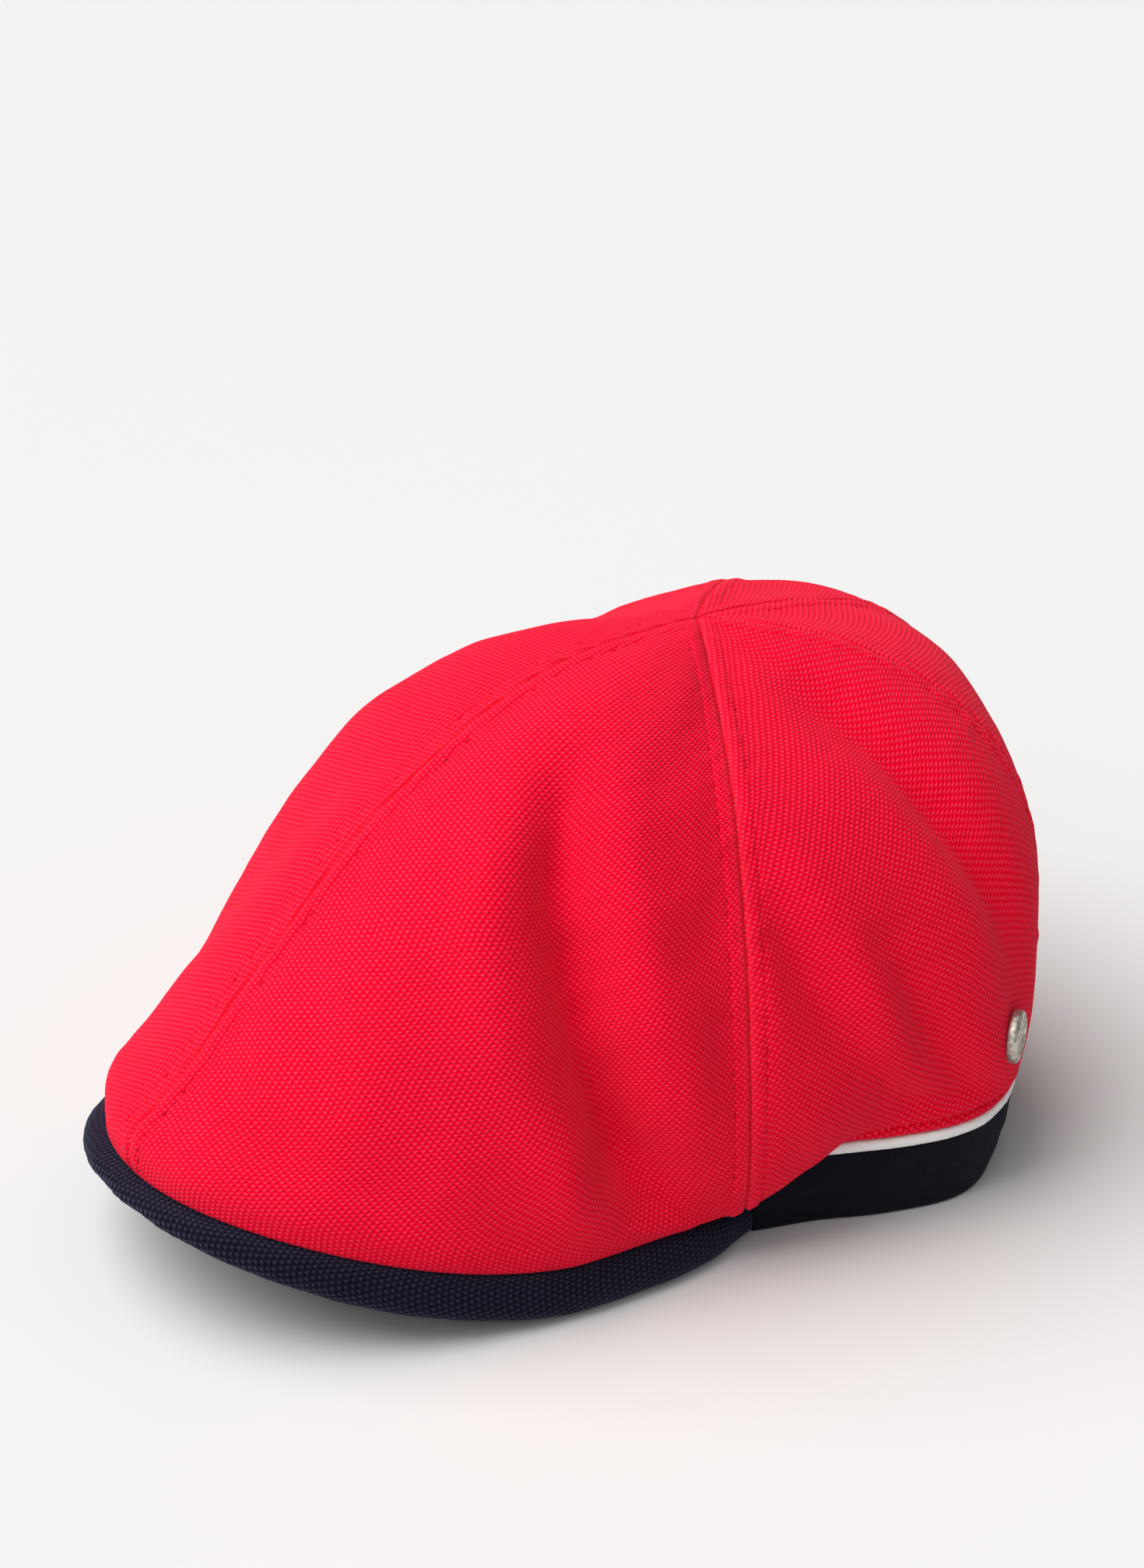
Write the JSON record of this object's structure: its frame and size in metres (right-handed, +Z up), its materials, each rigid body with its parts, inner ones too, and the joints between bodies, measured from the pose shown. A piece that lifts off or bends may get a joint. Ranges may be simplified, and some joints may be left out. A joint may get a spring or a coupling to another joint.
{
  "type": "duckbill flat cap",
  "caption": "Soft duckbill flat cap with a pique crown sewn down over a short rounded bill, a felt head band, a piping and a snap button.",
  "frame": {"origin": "centre of the cap's outline, on the surface that it rests on", "axes": "-Y to the front of the bill, +X to the wearer's left, +Z up"},
  "size_m": [0.1852, 0.261, 0.1395],
  "materials": {
    "red_cloth": "red cotton pique",
    "navy_cloth": "navy cotton pique on the bill, brushed felt on the band",
    "white_satin": "white satin bias piping",
    "pewter": "antique pewter",
    "dark_metal": "dark antique brass"
  },
  "bodies": {
    "root": {"front_left_panel": "red_cloth", "front_right_panel": "red_cloth", "side_left_panel": "red_cloth", "side_right_panel": "red_cloth", "back_left_panel": "red_cloth", "back_right_panel": "red_cloth", "bill": "navy_cloth", "head_band": "navy_cloth", "piping": "white_satin", "snap_cap": "pewter", "snap_washer": "dark_metal"}
  },
  "joints": []
}
